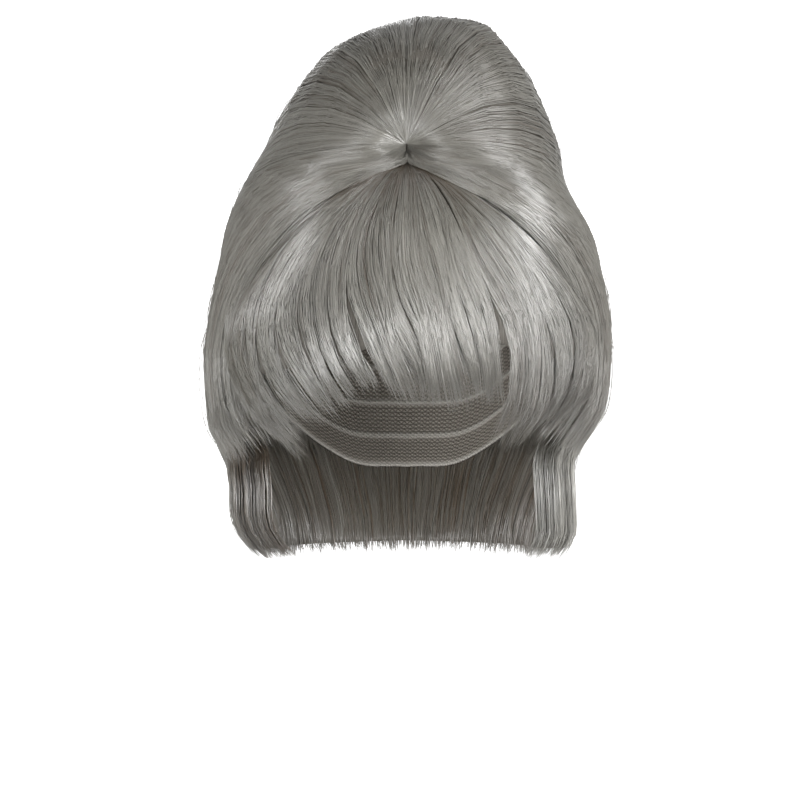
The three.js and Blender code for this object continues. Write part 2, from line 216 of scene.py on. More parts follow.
# The cap's edge: how low it lies at each turn from the face
CAP_TURN = np.array([0.0, 35.0, 62.0, 95.0, 125.0, 158.0, 180.0])
CAP_DROP = np.array([0.46, 0.56, 0.92, 0.82, 1.04, 1.34, 1.37]) * HEAD_CROWN
CAP_ROWS, CAP_SIDES = 52, 96
HEM_DEPTH, HEM_BEAD = 7.0, 0.5  # width of the folded hem, and how far it stands out
NET_INNER, NET_OUTER = 0.15, 1.15  # faces of the net, from the head
TRACKS, TRACK_RIDGE = 13, 0.25
WALES, COURSES = 190, 110  # stitches round the net and rows of them from crown to edge


def cap_grids():
    """Inner and outer faces of the cap on a grid of fall from the crown by turn round it. The
    fall ends at the cap's edge, found by halving. The net's wall swells to a folded hem over
    the last few millimetres, and a faint ridge marks each sewn track."""
    turn = np.arange(CAP_SIDES) * 360 / CAP_SIDES
    drop = smooth_table(np.where(turn > 180, 360 - turn, turn), CAP_TURN, CAP_DROP)
    low, high = np.zeros(CAP_SIDES), np.full(CAP_SIDES, 150.0)
    for _ in range(24):
        middle = (low + high) / 2
        d = heading(turn, 90 - middle)
        above = CENTRE[2] + d[:, 2] * reach_of(inside_head, CENTRE, d) > -drop
        low, high = np.where(above, middle, low), np.where(above, high, middle)
    share = np.linspace(0, 1, CAP_ROWS)[:, None]
    d = heading(turn[None, :], 90 - low * share)
    reach = reach_of(inside_head, CENTRE, d)
    from_edge = (1 - share) * np.radians(low) * reach
    hem = HEM_BEAD * np.clip(1 - ((from_edge - HEM_DEPTH / 2) / (HEM_DEPTH / 2)) ** 2, 0, 1)
    track = TRACK_RIDGE * np.maximum(np.cos(share * 2 * np.pi * TRACKS), 0) ** 6
    inner = CENTRE + d * (reach + NET_INNER - track)[..., None]
    outer = CENTRE + d * (reach + NET_OUTER + hem)[..., None]
    uv = np.stack([np.broadcast_to(turn / 360, share.shape[:1] + turn.shape),
                   np.broadcast_to(share, (CAP_ROWS, CAP_SIDES))], -1)
    return inner, outer, uv


inner, outer, uv = cap_grids()
count = CAP_ROWS * CAP_SIDES
first_ring = CAP_SIDES + np.arange(CAP_SIDES)
first_next = np.roll(first_ring, -1)
rim = (CAP_ROWS - 1) * CAP_SIDES + np.arange(CAP_SIDES)
rim_next = np.roll(rim, -1)
crown = np.zeros(CAP_SIDES, int)
cap = make_mesh(
    "foundation_cap_net",
    np.concatenate([outer.reshape(-1, 3), inner.reshape(-1, 3)]),
    np.concatenate([
        grid_faces(CAP_ROWS, CAP_SIDES, closed=True)[CAP_SIDES:],
        grid_faces(CAP_ROWS, CAP_SIDES, closed=True, flip=True)[CAP_SIDES:] + count,
        np.stack([rim, rim + count, rim_next + count, rim_next], -1),
    ]),
    np.concatenate([
        np.stack([crown, first_ring, first_next], -1),
        np.stack([crown, first_next, first_ring], -1) + count,
    ]),
    uv=np.concatenate([uv.reshape(-1, 2)] * 2),
)

net = Look("knitted_net", Roughness=0.85)
place = net.node("ShaderNodeTexCoord", {}, {}, "UV")
across = net.node("ShaderNodeSeparateXYZ", {}, {0: place}, 0)
down = net.node("ShaderNodeSeparateXYZ", {}, {0: place}, 1)
wale = across.math("SINE", across * (math.tau * WALES))
course = across.math("SINE", down * (math.tau * COURSES) + wale * 0.8)
weave = wale * 0.5 + course * 0.5
yarn = weave.math("ABSOLUTE", weave)
tracks = (across.math("COSINE", down * (math.tau * TRACKS)) * 0.5 + 0.5) ** 14.0
object_place = net.node("ShaderNodeTexCoord", {}, {}, "Object")
blotch = net.node("ShaderNodeTexNoise", {},
                  {"Vector": object_place, "Scale": 60.0, "Detail": 4.0})
net_colour = net.mix(yarn, (0.10, 0.09, 0.075, 1), (0.34, 0.31, 0.27, 1))
net_colour = net.mix(tracks * 0.8, net_colour, (0.50, 0.48, 0.44, 1))
net_colour = net.mix(blotch * 0.25, net_colour, (0.14, 0.12, 0.10, 1))
dress(cap, "foundation_cap", net.finish(
    Base_Color=net_colour, Normal=net.bump(yarn + tracks * 2.0, 0.0006, 0.7)))

# Crown mound
#
# The mound is teased synthetic hair, combed up from the whorl, over the top and down the back,
# with a furrow where it divides. Its smooth outer strands lie over a matted filling.

SIDE_LOFT, FRINGE_LOFT, BACK_LOFT, HAIR_SQUARENESS = 16.5, 19.0, 32.0, 2.15
CROWN_RISE, SIDE_DROP, BACK_DROP, NAPE_DROP = 71.0, 128.0, 116.0, 176.0
HALF_WIDTH = HEAD_BREADTH / 2 + CAP_WALL + SIDE_LOFT
FRONT_REACH = HEAD_LENGTH / 2 + CAP_WALL + FRINGE_LOFT
BACK_REACH = HEAD_LENGTH / 2 + CAP_WALL + BACK_LOFT
WIDEST_BEHIND = 8.0
WHORL = np.array([0.0, -62.0, 8.0])

# Outline rows: the share of the way down, then the outline's left, right, front and back as
# shares of the reaches. The mound's rows run from its top to the origin and hold the square root
# of the share. The side's run on to the side hem, and the nape's from there to the ends.
MOUND_ROWS = np.array([
    [0.00, -0.110, 0.110, -0.10, 0.10],
    [0.25, 0.120, 0.375, 0.10, 0.34],
    [0.46, 0.355, 0.485, 0.30, 0.56],
    [0.61, 0.475, 0.577, 0.40, 0.68],
    [0.82, 0.630, 0.700, 0.49, 0.80],
    [0.93, 0.705, 0.758, 0.53, 0.85],
    [1.00, 0.763, 0.768, 0.62, 0.88],
])
SIDE_ROWS = np.array([
    [0.00, 0.763, 0.768, 0.620, 0.880],
    [0.05, 0.800, 0.783, 0.740, 0.905],
    [0.16, 0.870, 0.870, 0.860, 0.945],
    [0.25, 0.900, 0.930, 0.915, 0.965],
    [0.50, 0.963, 0.998, 0.995, 1.000],
    [0.67, 0.993, 1.008, 1.000, 0.990],
    [0.84, 0.983, 0.985, 0.965, 0.930],
    [0.93, 0.965, 0.915, 0.930, 0.870],
    [1.00, 0.900, 0.850, 0.900, 0.790],
])
NAPE_ROWS = np.array([
    [0.00, 0.900, 0.850, 0.900, 0.790],
    [0.12, 0.885, 0.825, 0.880, 0.735],
    [0.25, 0.865, 0.830, 0.870, 0.700],
    [0.60, 0.860, 0.838, 0.870, 0.665],
    [0.78, 0.820, 0.835, 0.850, 0.655],
    [1.00, 0.720, 0.770, 0.750, 0.600],
])
OUTLINE_Z = np.linspace(-200.0, CROWN_RISE, 1600)


def outline_at(column, reach):
    """One side of the hair's outline on the fine ladder of heights."""
    mound = smooth_table(np.sqrt(np.clip(1 - OUTLINE_Z / CROWN_RISE, 0, 1)),
                         MOUND_ROWS[:, 0], MOUND_ROWS[:, column])
    side = smooth_table(-OUTLINE_Z / SIDE_DROP, SIDE_ROWS[:, 0], SIDE_ROWS[:, column])
    nape = smooth_table((-OUTLINE_Z - SIDE_DROP) / (NAPE_DROP - SIDE_DROP),
                        NAPE_ROWS[:, 0], NAPE_ROWS[:, column])
    return reach * np.where(OUTLINE_Z > 0, mound, np.where(OUTLINE_Z < -SIDE_DROP, nape, side))


LEFT, RIGHT = outline_at(1, -HALF_WIDTH), outline_at(2, HALF_WIDTH)
FRONT, BACK = outline_at(3, -FRONT_REACH), outline_at(4, BACK_REACH)


def inside_hair(p):
    """True inside the hair's outline: each level section is a superellipse that reaches the
    outline's left, right, front and back at that height."""
    z = p[..., 2]
    left, right = np.interp(z, OUTLINE_Z, LEFT), np.interp(z, OUTLINE_Z, RIGHT)
    front, back = np.interp(z, OUTLINE_Z, FRONT), np.interp(z, OUTLINE_Z, BACK)
    middle = np.clip(WIDEST_BEHIND, front, back)
    x = np.abs(p[..., 0] - (left + right) / 2) / np.maximum((right - left) / 2, 1e-6)
    depth = np.where(p[..., 1] < middle, middle - front, back - middle)
    y = np.abs(p[..., 1] - middle) / np.maximum(depth, 1e-6)
    return (x ** HAIR_SQUARENESS + y ** HAIR_SQUARENESS < 1) & (z < CROWN_RISE)


def lift_to(drop, reach):
    """Lift in degrees, seen from the head's middle, of a level below the origin at a reach."""
    return -math.degrees(math.atan((drop + CENTRE[2]) / reach))


SIDE_LIFT = lift_to(SIDE_DROP, 0.87 * HALF_WIDTH)
BACK_LIFT = lift_to(BACK_DROP, 0.8 * BACK_REACH)


def hem_lift(turn):
    """The hem's lift at a turn: the side's as far as the ear, then steadily up to the back's."""
    return SIDE_LIFT + (BACK_LIFT - SIDE_LIFT) * (np.maximum(np.abs(turn), 90) - 90) / 90


def rise(x, low, high):
    """Nothing below low, one above high, and a smooth climb between them."""
    t = np.clip((x - low) / (high - low), 0, 1)
    return t * t * (3 - 2 * t)


def row_across(rows, across):
    """The row of a path table at a share of the way across it, mixed from its neighbours."""
    at = across * (len(rows) - 1)
    k = np.clip(np.floor(at).astype(int), 0, len(rows) - 2)
    t = (at - k)[..., None]
    return rows[k] * (1 - t) + rows[k + 1] * t


def flow(row, share):
    """Heading a share of the way along a path: the cubic curve through the whorl's heading and
    the row's headings at one third, two thirds and the end, scaled to a unit vector."""
    whorl = (WHORL - CENTRE) / np.linalg.norm(WHORL - CENTRE)
    a, b, c, d = (x[..., None] for x in (share, share - 1 / 3, share - 2 / 3, share - 1))
    v = (-4.5 * b * c * d * whorl
         + 13.5 * a * c * d * heading(row[..., 0], row[..., 1])
         - 13.5 * a * b * d * heading(row[..., 2], row[..., 3])
         + 4.5 * a * b * c * heading(row[..., 4], row[..., 5]))
    return v / np.linalg.norm(v, axis=-1, keepdims=True)


def locks(across, number, seed):
    """Locks side by side, of uneven width, which follow the paths, with four more past each
    edge of the section. Gives the way across the lock from 0 to 1, the lock's own random
    number, and the way to its middle."""
    dice = np.random.default_rng(seed)
    edges = np.cumsum(dice.uniform(0.4, 1.6, number + 9))
    edges = (edges - edges[4]) / (edges[-5] - edges[4])
    own = dice.random(len(edges))
    cell = np.clip(np.searchsorted(edges, across) - 1, 0, len(edges) - 2)
    width = edges[cell + 1] - edges[cell]
    part = np.clip((across - edges[cell]) / width, 0, 1)
    return part, own[cell], (0.5 - part) * width


def relief(across, share, big, small, seed):
    """Height of the locks' grooves and of fine lines inside them, as a depth in millimetres to
    take off: big and small are each a number of locks and a depth."""
    part, own, _ = locks(across, big[0], seed)
    fine, fine_own, _ = locks(across, small[0], seed + 1)
    groove = (1 - np.sin(math.pi * part) ** 0.8) * (0.2 + 0.7 * own) + 0.4 * own
    line = (1 - np.sin(math.pi * fine) ** 0.7) * 0.5 + 0.6 * fine_own
    return big[1] * groove * rise(share, 0.08, 0.5) + small[1] * line * rise(share, 0.04, 0.2)


PINCH_DEPTH, CREASE_DEPTH, SWELL_HEIGHT = 0.9, 1.2, 2.2
MOUND_LOCKS, MOUND_LINES = 26, 150  # broad locks side by side, and fine ones


def pinch(share):
    """The dimple at the whorl: a bell curve of the share."""
    return -PINCH_DEPTH * np.exp(-((share / 0.03) ** 2))


# Path rows: turn and lift in degrees at one third, at two thirds and at the end of the way
SWEEP_BACK = [66, 41, 109, 22, 128, hem_lift(128)]
MOUND_PATHS = np.array([
    SWEEP_BACK,
    [100, 68, 148, 26, 152, hem_lift(152)],
    [180, 79, 180, 27, 180, hem_lift(180)],
    [260, 68, 212, 26, 208, hem_lift(152)],
    [294, 41, 251, 22, 232, hem_lift(128)],
])


def mound_spot(across, share, depth):
    """A point of the mound: out from the head's middle along its path's heading to the outline,
    less the furrow, the pinch at the whorl, the grooves between locks and the depth, and plus a
    swell on the wearer's left beside the furrow."""
    d = flow(row_across(MOUND_PATHS, across), share)
    furrow = (CREASE_DEPTH * np.exp(-(((across - 0.5) / 0.018) ** 2))
              * rise(share, 0.01, 0.05) * (1 - rise(share, 0.12, 0.4)))
    swell = (SWELL_HEIGHT * np.exp(-(((across - 0.24) / 0.07) ** 2))
             * rise(share, 0.03, 0.16) * (1 - rise(share, 0.25, 0.6)))
    top = (reach_of(inside_hair, CENTRE, d) - furrow + swell + pinch(share) - 0.6
           - relief(across, share, (MOUND_LOCKS, 0.4), (MOUND_LINES, 0.1), 11) - depth)
    return CENTRE + d * top[..., None], d


def seat_of(d):
    """The hair's underside: on the cap's outer face, a small gap away."""
    return CENTRE + d * (reach_of(inside_head, CENTRE, d) + CAP_WALL + SEAT_GAP)[..., None]


def filling(name, spot, rows, columns, first, last, depth, thickness=None):
    """The matted inner body of a section: a closed block from the seat on the cap up to a face
    that lies a little under the outer strands. Where a thickness is given, the block is that
    thick along the path instead of reaching the cap."""
    share = first + (last - first) * np.linspace(0, 1, rows)[:, None] ** 1.15
    across = np.linspace(0.004, 0.996, columns)[None, :]
    share, across = np.broadcast_arrays(share, across)
    outer, d = spot(across, share, depth + 3.0 * rise(share, 0.85, 1.0))
    inner = seat_of(d)
    if thickness is not None:
        thin = outer - d * thickness(share)[..., None]
        off_seat = np.linalg.norm(thin - CENTRE, axis=-1) > np.linalg.norm(inner - CENTRE, axis=-1)
        inner = np.where(off_seat[..., None], thin, inner)
    return closed_block(name, outer, inner, np.stack([across, share], -1))


def closed_block(name, outer, inner, uv):
    """A closed body between two grids of points, with walls along its four edges."""
    rows, columns = outer.shape[:2]
    count = rows * columns
    index = np.arange(count).reshape(rows, columns)
    edge = np.concatenate([index[0, :-1], index[:-1, -1], index[-1, :0:-1], index[:0:-1, 0]])
    after = np.roll(edge, -1)
    quads = np.concatenate([
        grid_faces(rows, columns), grid_faces(rows, columns, flip=True) + count,
        np.stack([edge, after, after + count, edge + count], -1)])
    points = np.concatenate([outer.reshape(-1, 3), inner.reshape(-1, 3)])
    corner = points[quads]  # faces that give a negative volume point inwards and are turned
    volume = np.einsum("ij,ij->i", corner[:, 0], np.cross(corner[:, 1], corner[:, 2])).sum()
    volume += np.einsum("ij,ij->i", corner[:, 0], np.cross(corner[:, 2], corner[:, 3])).sum()
    if volume < 0:
        quads = quads[:, ::-1]
    return make_mesh(name, points, quads, uv=np.concatenate([uv.reshape(-1, 2)] * 2))


# What a strand does unless its group says otherwise. Lengths are in millimetres.
USUAL_STRAND = {
    "sink": 1.5,    # above one, more strands lie near the top of the group's depths
    "dive": 0.0,    # how much deeper it starts
    "curl": 0.0,    # how much deeper its tip turns in
    "gather": 0.2,  # share of the way that its tip is drawn to the middle of its broad lock
    "fine": 0.15,   # the same for its fine lock, from near the root on
    "part": 0.0,    # how far its tip draws away from the section's edges
    "bend": 0.0,    # how far its tip swings across
    "spill": 0.0,   # how far it strays over the front edge near the whorl
    "sway": 0.7,    # slow waves that neighbours share
    "own": 0.3,     # its own wandering
    "loose": 0.8,   # how far its tip strays
    "lift": 0.0,    # how far it stands off in the middle
    "ragged": 0.0,  # how much shorter some broad locks are, as a share of the path
    "taper": 0.2,   # part of it that tapers to its tip
    # These four set the colour and paint light and shade into it: a group's tone also stands for
    # shade, each millimetre of depth darkens as painted shade, the root is lightened as a painted
    # highlight, and the first third is darkened as painted shade under other hair.
    "tone_and_shading": 0.52,   # 0 for the darkest hair, 1 for the lightest
    "deep_shade": 0.04,   # darker with each millimetre of depth
    "root": 0.22,   # lighter at its root
    "shade": 0.0,   # darker along its first third
}


def strands(name, spot, big, small, groups, points, seed):
    """Thousands of fine strands as one mesh. Each strand is a three-sided tube that tapers at
    both ends. It runs along a section's paths at its own place across and its own depth, drawn
    a little towards the middle of its fine lock, and towards the middle of its broad lock near
    its tip. The whole section sways in slow waves, and each strand wanders on its own as well.
    A group is a dict: number of strands, ranges across, of starts, of stops and of depths,
    width in millimetres, and where it differs from the usual strand."""
    dice = np.random.default_rng(seed)
    phase = dice.random(8) * math.tau
    rings, shaded_tones = [], []
    for group in groups:
        kind = {**USUAL_STRAND, **group}
        number = kind["number"]
        across = dice.uniform(*kind["across"], number)[:, None]
        start = dice.uniform(*kind["start"], number)[:, None]
        stop = dice.uniform(*kind["stop"], number)[:, None]
        deep = (kind["depth"][0]
                + np.ptp(kind["depth"]) * dice.random(number)[:, None] ** kind["sink"])
        _, own, to_middle = locks(across, big, seed)
        _, fine_own, to_fine = locks(across, small, seed + 1)
        t = np.linspace(0, 1, points)[None, :]
        share = start + (stop - kind["ragged"] * own - start) * t
        place = (across + (0.5 - across) * kind["part"] * rise(share, 0.55, 0.95)
                 + to_middle * kind["gather"] * (0.3 + 1.4 * own)
                 * rise(share, 0.45, 1.05) ** 1.5
                 + to_fine * kind["fine"] * rise(share, 0.05, 0.5)
                 + kind["bend"] * np.clip((share - 0.4) / 0.6, 0, 2) ** 1.7
                 - kind["spill"] * dice.random(number)[:, None] * rise(share, 0.02, 0.08)
                 * (1 - rise(share, 0.12, 0.38)))
        depth = (deep + kind["dive"] * (1 - rise(t, 0, 0.2))
                 + kind["curl"] * rise(t, 0.7, 1.05))
        p, out = spot(place, share, depth)
        tangent = np.gradient(p, axis=1)
        side = np.cross(tangent, out)
        side /= np.linalg.norm(side, axis=-1, keepdims=True) + 1e-9
        sway = sum(size * np.sin(math.tau * (along * share + round_it * place) + phase[k])
                   for k, (size, along, round_it) in enumerate(
                       ((1.0, 0.9, 2.3), (0.5, 1.7, -5.1), (0.15, 3.1, 9.7))))
        free = rise(share, 0.02, 0.3)
        lone = np.sin(math.tau * (dice.uniform(0.5, 2.0, number)[:, None] * share
                                  + dice.random(number)[:, None]))
        stray = dice.normal(0, kind["loose"], number)[:, None] * t ** 2.5
        across_way = free * (kind["sway"] * sway + kind["own"] * lone) + stray
        off_way = kind["lift"] * dice.random(number)[:, None] * np.sin(math.pi * t) ** 2
        p = p + side * across_way[..., None] + out * off_way[..., None]
        tangent = np.gradient(p, axis=1)
        tangent /= np.linalg.norm(tangent, axis=-1, keepdims=True) + 1e-9
        side = np.cross(tangent, out)
        side /= np.linalg.norm(side, axis=-1, keepdims=True) + 1e-9
        up = np.cross(side, tangent)
        half = (kind["width"] / 2 * dice.uniform(0.65, 1.3, number)[:, None]
                * (0.35 + 0.65 * rise(share, 0.0, 0.3))
                * np.minimum(1, (1.03 - t) / kind["taper"]))
        half = half[..., None]
        rings.append(np.stack([p + up * half * 0.6, p + side * half - up * half * 0.4,
                               p - side * half - up * half * 0.4], 2))
        # The colour: the group's tone with random differences between locks and strands, painted
        # shade that deepens with depth and along the first third, and a painted highlight at the
        # root (painted shade there where the root setting is below zero).
        tone_and_shading = (kind["tone_and_shading"] + 0.14 * (own - 0.5) + 0.2 * (fine_own - 0.5)
                + dice.normal(0, 0.1, number)[:, None] - kind["deep_shade"] * np.maximum(depth, 0)
                + kind["root"] * (1 - rise(share, 0.0, 0.12))
                - kind["shade"] * (1 - rise(share, 0.1, 0.4)))
        shaded_tones.append(np.repeat(tone_and_shading[..., None], 3, -1))
    ring = np.concatenate(rings)
    total = len(ring)
    corner = np.arange(total * points * 3).reshape(total, points, 3)
    a, b = corner[:, :-1], corner[:, 1:]
    quads = np.stack([a, np.roll(a, -1, 2), np.roll(b, -1, 2), b], -1).reshape(-1, 4)
    ends = np.concatenate([corner[:, 0, ::-1], corner[:, -1]])
    return make_mesh(name, ring.reshape(-1, 3), quads, ends,
                     values={"tone_and_shading": np.clip(np.concatenate(shaded_tones), 0, 1).ravel()})


# The fibre: silver grey, a little warm, and darker and browner where its tone is low.
# A low tone is partly hair darker at random and partly painted shade; the brown is painted shadow.
SILVER, ASH, SHADOW_BROWN = (0.27, 0.259, 0.228, 1), (0.066, 0.062, 0.052, 1), (0.085, 0.06, 0.038, 1)

fibre = Look("grey_fibre", IOR=1.85, Specular_IOR_Level=0.9)
tone_and_shading = fibre.node("ShaderNodeAttribute", {"attribute_name": "tone_and_shading"}, {}, "Fac")
object_place = fibre.node("ShaderNodeTexCoord", {}, {}, "Object")
glint = fibre.node("ShaderNodeTexNoise", {},
                   {"Vector": object_place, "Scale": 900.0, "Detail": 2.0})
fibre_colour = fibre.mix((tone_and_shading * 0.85 + glint * 0.15).clip(), ASH, SILVER)
fibre_colour = fibre.mix(((0.47 - tone_and_shading) * 2.2).clip(), fibre_colour, SHADOW_BROWN)
fibre.finish(Base_Color=fibre_colour, Roughness=0.27 + glint * 0.14)

# The matted body: darker, as painted shade under the strands, and streaked along the hair
mat = Look("matted_fibre_in_shade", Roughness=0.5, IOR=1.6, Specular_IOR_Level=0.5)
place = mat.node("ShaderNodeUVMap", {"uv_map": "flow"}, {})
streak_place = mat.node("ShaderNodeMapping", {}, {"Vector": place, "Scale": (260.0, 3.0, 1.0)})
streak = mat.node("ShaderNodeTexNoise", {}, {"Vector": streak_place, "Scale": 1.0, "Detail": 4.0})
broad_place = mat.node("ShaderNodeMapping", {}, {"Vector": place, "Scale": (38.0, 2.0, 1.0)})
broad = mat.node("ShaderNodeTexNoise", {}, {"Vector": broad_place, "Scale": 1.0, "Detail": 2.0})
mat_colour = mat.mix((streak * 0.9 + broad * 0.5 - 0.35).clip(), (0.045, 0.038, 0.03, 1),
                     (0.225, 0.212, 0.183, 1))
mat.finish(Base_Color=mat_colour, Normal=mat.bump(streak + broad, 0.0015, 0.9))

mound = filling("crown_mound_filling", mound_spot, rows=56, columns=110,
                first=0.004, last=0.985, depth=1.1)
dress(mound, "crown_mound", mat.material)
mound_hair = strands("crown_mound_strands", mound_spot, MOUND_LOCKS, MOUND_LINES, [
    {"number": 1130, "across": (-0.004, 1.004), "start": (0.001, 0.03), "stop": (0.97, 1.06),
     "depth": (-0.25, 0.5), "width": 0.64},
    {"number": 480, "across": (-0.004, 1.004), "start": (0.2, 0.6), "stop": (0.97, 1.08),
     "depth": (-0.25, 0.4), "width": 0.64, "dive": 1.0, "ragged": 0.03},
    {"number": 44, "across": (0.0, 1.0), "start": (0.1, 0.4), "stop": (0.5, 0.9),
     "depth": (0.0, 0.5), "width": 0.36, "dive": 2.0, "lift": 4.0, "own": 1.0, "loose": 3.0},
], points=17, seed=21)
dress(mound_hair, "crown_mound", fibre.material)

# Side sweeps
#
# A smooth wing of hair goes down each side of the head over the ear. It rolls over the root of
# the fringe at its front edge, and its ends are turned in towards the jaw.

SWEEP_ROLL, SWEEP_TURN_IN, ROLL_PLACE = 1.5, 4.5, 0.22
SWEEP_LOCKS, SWEEP_LINES = 12, 80
FAN_OPENS, FAN_OPEN = 0.0513, 0.1739
FRINGE_DROP, CORNER_DROP = 96.0, 112.0  # how low the fringe ends, in its middle and corners
FRINGE_LIFT = lift_to(FRINGE_DROP, FRONT_REACH)
CORNER_LIFT = lift_to(CORNER_DROP, 0.86 * FRONT_REACH)
FRONT_PATH = np.array([2, 26, 4, 8, 6, FRINGE_LIFT])
SWEEP_PATHS = np.array([
    [31, 25, 57, 1, 53, SIDE_LIFT + 5],
    [49, 34, 84, 12, 90, SIDE_LIFT],
    SWEEP_BACK,
])


def sweep_spot(side, seed):
    """The points of a sweep on one side, +1 for the wearer's left. Across runs from the front
    edge to the back. Near the whorl the paths fan out of the front path. The surface has a
    soft roll behind its front edge, and the edge itself is turned in."""
    rows = SWEEP_PATHS * np.array([side, 1, side, 1, side, 1])

    def spot(across, share, depth):
        own = row_across(rows, across)
        closed = FRONT_PATH * (1 - across[..., None]) + own * across[..., None]
        opened = rise(share, FAN_OPENS, FAN_OPEN)[..., None]
        d = flow(closed * (1 - opened) + own * opened, share)
        roll = (SWEEP_ROLL * np.exp(-(((across - ROLL_PLACE) / 0.12) ** 2))
                * rise(share, 0.05, 0.25) * (1 - rise(share, 0.6, 0.95)))
        flat = np.clip(1 - across / ROLL_PLACE, 0, 1)
        turned = (SWEEP_TURN_IN * (0.25 + 0.75 * rise(share, 0.4, 0.8))
                  * (1 - np.sqrt(1 - flat ** 2)))
        top = (reach_of(inside_hair, CENTRE, d) + roll - turned + pinch(share) - 0.5
               - relief(across, share, (SWEEP_LOCKS, 0.55), (SWEEP_LINES, 0.22), seed) - depth)
        return CENTRE + d * top[..., None], d

    return spot


# Near the whorl the sweep on the wearer's left starts darker, painted shade, and the one on the
# right lighter, a painted highlight.
for name, side, seed, root in (("sweep_left", 1, 31, -0.06), ("sweep_right", -1, 41, 0.22)):
    spot = sweep_spot(side, seed)
    body = filling(f"{name}_filling", spot, rows=40, columns=44,
                   first=0.004, last=0.97, depth=1.3)
    dress(body, name, mat.material)
    hair = strands(f"{name}_strands", spot, SWEEP_LOCKS, SWEEP_LINES, [
        {"number": 900, "across": (-0.01, 1.004), "start": (0.001, 0.03),
         "stop": (0.95, 1.03), "depth": (-0.1, 0.7), "width": 0.42, "ragged": 0.02,
         "root": root},
        {"number": 390, "across": (-0.01, 1.004), "start": (0.15, 0.5), "stop": (0.93, 1.03),
         "depth": (-0.1, 0.6), "width": 0.42, "dive": 0.9, "ragged": 0.02},
        {"number": 260, "across": (-0.09, 0.02), "start": (0.01, 0.4), "stop": (0.86, 0.99),
         "depth": (0.0, 5.0), "width": 0.4, "sink": 1.0, "gather": 0.0, "dive": 1.0},
        {"number": 150, "across": (-0.02, 0.05), "start": (0.001, 0.02), "stop": (0.5, 0.9),
         "depth": (0.2, 1.2), "width": 0.4, "gather": 0.0, "spill": 0.2, "root": root},
        {"number": 190, "across": (-0.03, 0.06), "start": (0.45, 0.7), "stop": (0.93, 1.035),
         "depth": (3.0, 17.0), "width": 0.5, "sink": 1.0, "gather": 0.0, "tone_and_shading": 0.55,
         "deep_shade": 0.004},
        {"number": 100, "across": (0.0, 0.5), "start": (0.5, 0.75), "stop": (0.98, 1.035),
         "depth": (0.5, 5.0), "width": 0.45, "dive": 1.0, "deep_shade": 0.0},
        {"number": 130, "across": (0.42, 1.0), "start": (0.5, 0.75), "stop": (0.98, 1.08),
         "depth": (0.0, 2.5), "width": 0.42, "ragged": 0.03, "dive": 1.0},
        {"number": 210, "across": (0.0, 1.0), "start": (0.7, 0.85), "stop": (0.93, 1.02),
         "depth": (1.5, 20.0), "width": 0.5, "sink": 1.0, "tone_and_shading": 0.42, "ragged": 0.03,
         "deep_shade": 0.012},
        {"number": 12, "across": (0.0, 1.0), "start": (0.2, 0.6), "stop": (0.8, 1.02),
         "depth": (0.0, 0.5), "width": 0.36, "dive": 2.0, "lift": 2.5, "own": 2.0,
         "loose": 3.0},
        {"number": 7, "across": (0.4, 0.65), "start": (0.72, 0.78), "stop": (1.0, 1.03),
         "depth": (0.0, 0.5), "width": 0.36, "dive": 2.0, "lift": 5.0, "own": 0.6,
         "loose": 4.0},
    ], points=12, seed=seed + 2)
    dress(hair, name, fibre.material)

# Fringe
#
# Three locks of straight hair spring from under the sweeps, bulge over the forehead and turn in
# at the brow. They part towards their ends, which are cut uneven.

FRINGE_TUCK, FRINGE_UNDER = 3.0, 10.0
ROOT_THICKNESS, END_THICKNESS = 90.0, 2.0  # of the filling, which stops at the cap
FRINGE_LOCKS, FRINGE_LINES = 8, 46
FRINGE_RIGHT = np.array([
    [-28, 22, -53, 3, -46, CORNER_LIFT + 3.5],
    [-19, 24, -36, 2, -30, CORNER_LIFT - 2.5],
    [-10, 25, -15, 4, -14, FRINGE_LIFT - 4.5],
])
FRINGE_MIDDLE = np.array([
    FRINGE_RIGHT[2],
    [2, 26, 2, 8, 1, FRINGE_LIFT - 0.5],
    [10, 26, 14, 8, 14, FRINGE_LIFT - 1],
])
FRINGE_LEFT = np.array([
    FRINGE_MIDDLE[2],
    [20, 25, 33, 6, 28, CORNER_LIFT + 1],
    [28, 22, 53, 3, 46, CORNER_LIFT + 3],
])


def fringe_thickness(share):
    """Thick enough to reach the cap at the root, and less by the root of a smooth climb."""
    return ROOT_THICKNESS + (END_THICKNESS - ROOT_THICKNESS) * np.sqrt(rise(share, 0.3, 0.9))


def fringe_spot(rows, from_edge, seed):
    """The points of a lock of the fringe. It fans out of the front path, lies tucked under the
    sweeps at its root and along a neighbouring sweep, and grooves run down to its ends."""

    def spot(across, share, depth):
        opened = rise(share, FAN_OPENS, FAN_OPEN)[..., None]
        d = flow(FRONT_PATH * (1 - opened) + row_across(rows, across) * opened, share)
        edge = from_edge(across)
        under = FRINGE_UNDER * np.maximum(-edge, 0) * (1 - rise(share, 0.55, 0.95))
        edge = np.maximum(edge, 0)
        upper = np.exp(-((edge / 0.35) ** 2)) * (1 - rise(share, 0.5, 0.9))
        lower = np.exp(-((edge / 0.2) ** 2)) * rise(share, 0.5, 0.9)
        tuck = FRINGE_TUCK * np.maximum(1 - rise(share, 0.15, 0.45), np.maximum(upper, lower))
        top = (reach_of(inside_hair, CENTRE, d) - tuck - under - 0.4
               - relief(across, share, (FRINGE_LOCKS, 0.6), (FRINGE_LINES, 0.22), seed)
               - depth)
        return CENTRE + d * top[..., None], d

    return spot


